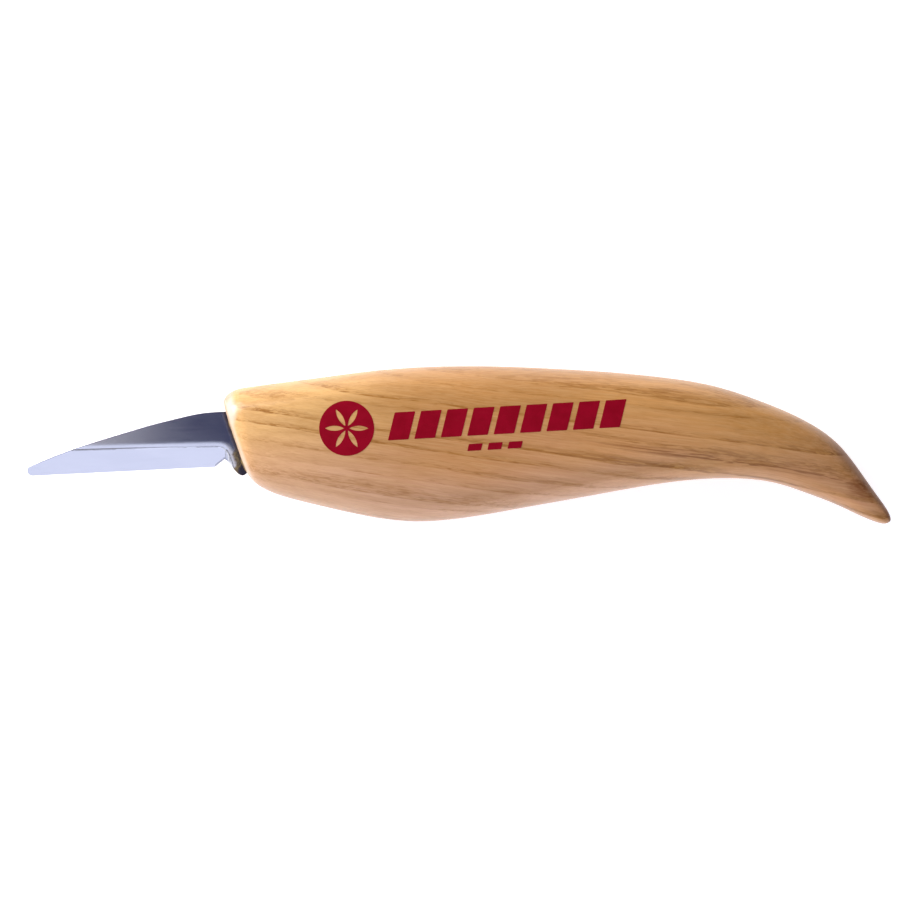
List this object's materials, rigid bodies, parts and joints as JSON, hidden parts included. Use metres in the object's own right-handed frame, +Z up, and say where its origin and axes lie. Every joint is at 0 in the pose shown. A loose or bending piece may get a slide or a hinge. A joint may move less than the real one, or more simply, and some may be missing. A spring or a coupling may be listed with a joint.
{
  "type": "wood carving knife",
  "caption": "Fixed-blade wood carving knife: a slim tapered steel blade glued into a palm-shaped ash handle with a curved tail, for whittling and detail cuts.",
  "frame": {"origin": "centre of the knife's bounding box in plan, on the plane of the handle's lower flat side, which the knife lies on", "axes": "+X from the blade's tip to the handle's tail; +Y from the cutting edge to the spine; +Z up, through the knife's thickness, out of the printed side"},
  "size_m": [0.1651, 0.0301, 0.0191],
  "materials": {
    "blade_steel": "ground and polished carbon steel",
    "handle_ash": "sanded ash under clear satin lacquer",
    "epoxy": "cured clear amber epoxy",
    "red_ink": "satin dark red printing ink"
  },
  "bodies": {
    "root": {"blade": "blade_steel", "handle": "handle_ash", "tang_adhesive": "epoxy", "print_emblem": "red_ink", "print_bars": "red_ink", "print_dashes": "red_ink"}
  },
  "joints": []
}
